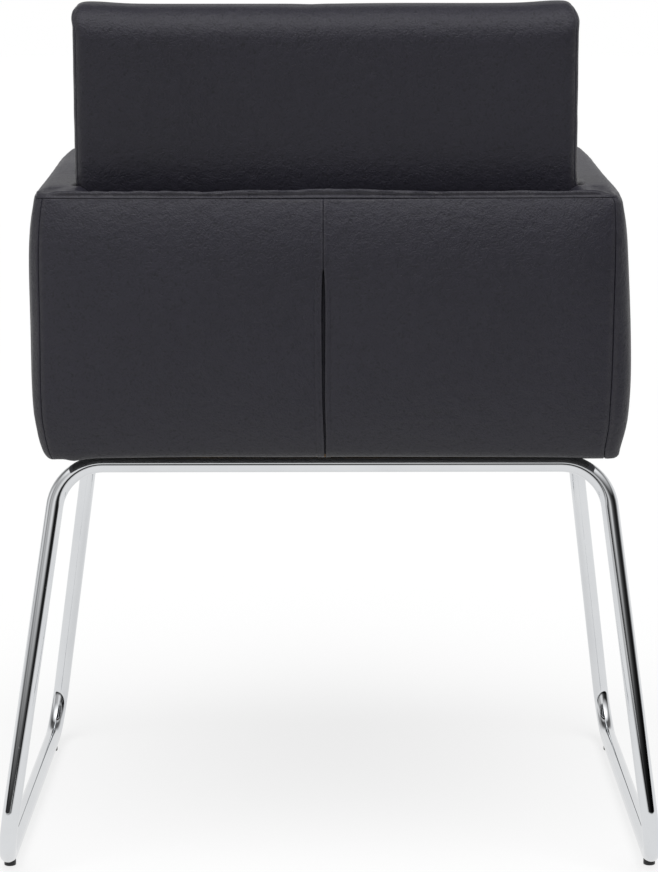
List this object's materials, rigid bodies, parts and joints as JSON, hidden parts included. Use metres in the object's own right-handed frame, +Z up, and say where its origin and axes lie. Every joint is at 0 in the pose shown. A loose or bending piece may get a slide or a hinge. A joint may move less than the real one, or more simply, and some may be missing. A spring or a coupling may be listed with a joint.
{
  "type": "sled base visitor chair",
  "caption": "Upholstered visitor chair with low box arms, a padded back, a rear panel with a sewn pleat, and a bent tube sled base.",
  "frame": {"origin": "on the floor, under the middle of the chair's box", "axes": "+X to the sitter's right, +Y the way the sitter faces, +Z up"},
  "size_m": [0.612, 0.56, 0.8001],
  "materials": {
    "frame_chrome": "polished chrome plate",
    "zinc_steel": "bright zinc plate",
    "black_plastic": "moulded, fine grain",
    "black_leather": "fine grained upholstery leather, satin",
    "black_felt": "non-woven dust cover cloth",
    "plywood": "plain plywood",
    "foam": "open cell seating foam"
  },
  "bodies": {
    "root": {"sled_frame": "frame_chrome", "frame_spigot": "zinc_steel", "glide_rear_left": "black_plastic", "glide_rear_right": "black_plastic", "glide_front_left": "black_plastic", "glide_front_right": "black_plastic", "seat_rail_left": "frame_chrome", "seat_rail_right": "frame_chrome", "seat_bolt_rear_left": "zinc_steel", "seat_bolt_rear_right": "zinc_steel", "seat_bolt_front_left": "zinc_steel", "seat_bolt_front_right": "zinc_steel", "seat_washer_rear_left": "zinc_steel", "seat_washer_rear_right": "zinc_steel", "seat_washer_front_left": "zinc_steel", "seat_washer_front_right": "zinc_steel", "seat_spacer_rear_left": "black_plastic", "seat_spacer_rear_right": "black_plastic", "seat_spacer_front_left": "black_plastic", "seat_spacer_front_right": "black_plastic", "tee_nut_rear_left": "zinc_steel", "tee_nut_rear_right": "zinc_steel", "tee_nut_front_left": "zinc_steel", "tee_nut_front_right": "zinc_steel", "arm_board_left": "plywood", "arm_board_right": "plywood", "rear_board": "plywood", "seat_board": "plywood", "back_board": "plywood", "corner_bracket_left": "zinc_steel", "corner_screw_arm_left": "zinc_steel", "corner_screw_rear_left": "zinc_steel", "corner_bracket_right": "zinc_steel", "corner_screw_arm_right": "zinc_steel", "corner_screw_rear_right": "zinc_steel", "back_bracket_left": "zinc_steel", "back_screw_upper_left": "zinc_steel", "back_screw_lower_left": "zinc_steel", "back_bracket_right": "zinc_steel", "back_screw_upper_right": "zinc_steel", "back_screw_lower_right": "zinc_steel", "edge_screw_arm_rear_left": "zinc_steel", "edge_screw_arm_front_left": "zinc_steel", "edge_screw_arm_rear_right": "zinc_steel", "edge_screw_arm_front_right": "zinc_steel", "edge_screw_rear_left": "zinc_steel", "edge_screw_rear_right": "zinc_steel", "rear_foam": "foam", "arm_foam_left": "foam", "arm_foam_right": "foam", "rear_cover_left": "black_leather", "rear_cover_right": "black_leather", "body_cover": "black_leather", "seat_cover": "black_leather", "seat_foam": "foam", "back_foam": "foam", "back_cover": "black_leather", "dust_cover": "black_felt"}
  },
  "joints": []
}
